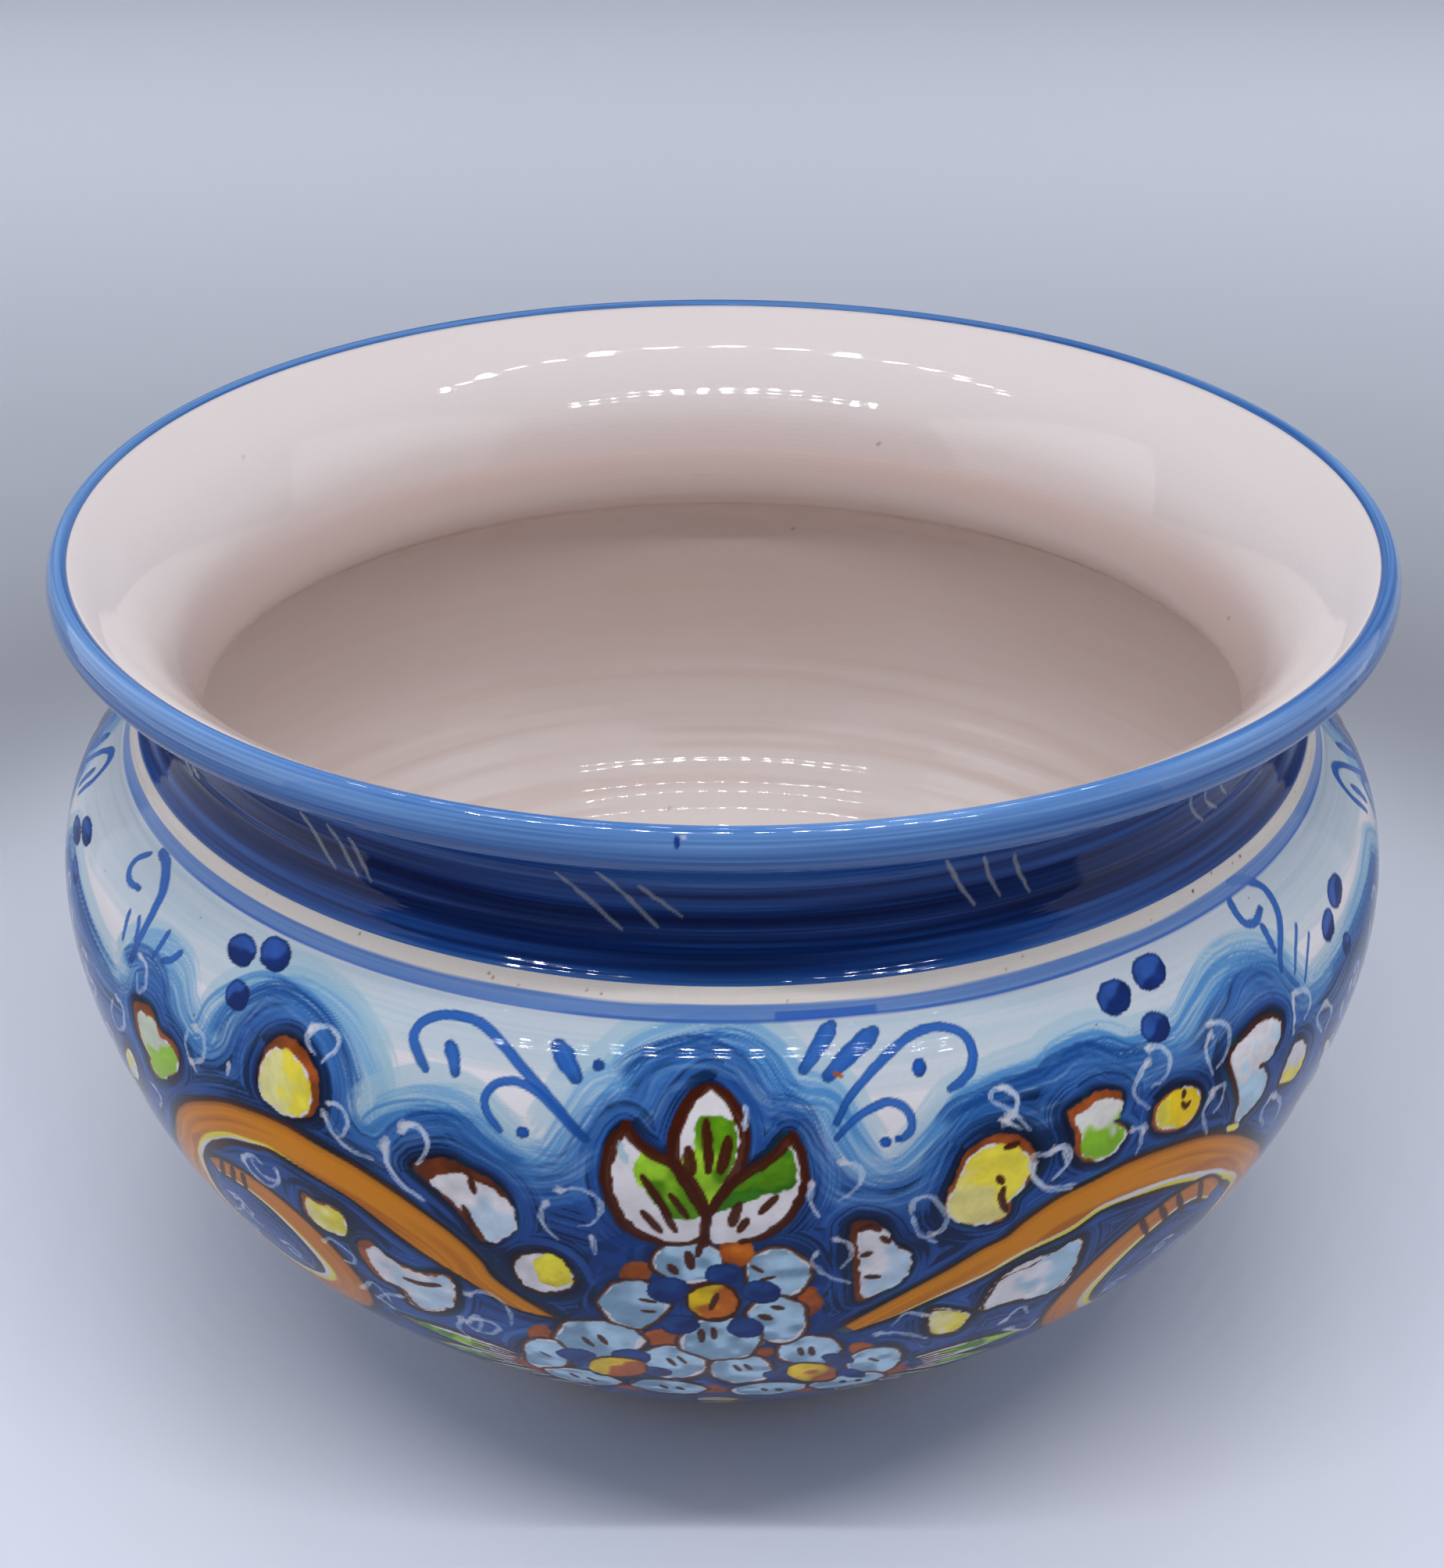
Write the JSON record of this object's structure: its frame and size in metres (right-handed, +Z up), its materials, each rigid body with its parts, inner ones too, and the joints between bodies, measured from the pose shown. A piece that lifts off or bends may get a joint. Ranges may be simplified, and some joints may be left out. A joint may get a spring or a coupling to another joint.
{
  "type": "cachepot",
  "caption": "Round-bellied glazed earthenware flower-pot cover with a waisted neck, flared rolled rim and painted scroll-and-flower ornament.",
  "frame": {"origin": "centre of the foot ring's resting plane", "axes": "+Z up along the axis of revolution; the painted front faces -Y"},
  "size_m": [0.3072, 0.3072, 0.1955],
  "materials": {
    "bare_clay": "unglazed fired earthenware, matt",
    "white_glaze": "opaque white tin glaze, glossy",
    "painted_glaze": "hand-painted tin glaze in blues, orange, yellow, green and white, glossy",
    "dark_blue_glaze": "brushed cobalt blue glaze, glossy",
    "blue_glaze": "brushed mid-blue glaze, glossy"
  },
  "bodies": {
    "root": {"foot_ring": "bare_clay", "bowl_wall": "bare_clay", "neck_collar": "bare_clay", "rim_roll": "bare_clay", "lining_glaze": "white_glaze", "belly_glaze": "painted_glaze", "neck_glaze": "dark_blue_glaze", "rim_glaze": "blue_glaze"}
  },
  "joints": []
}
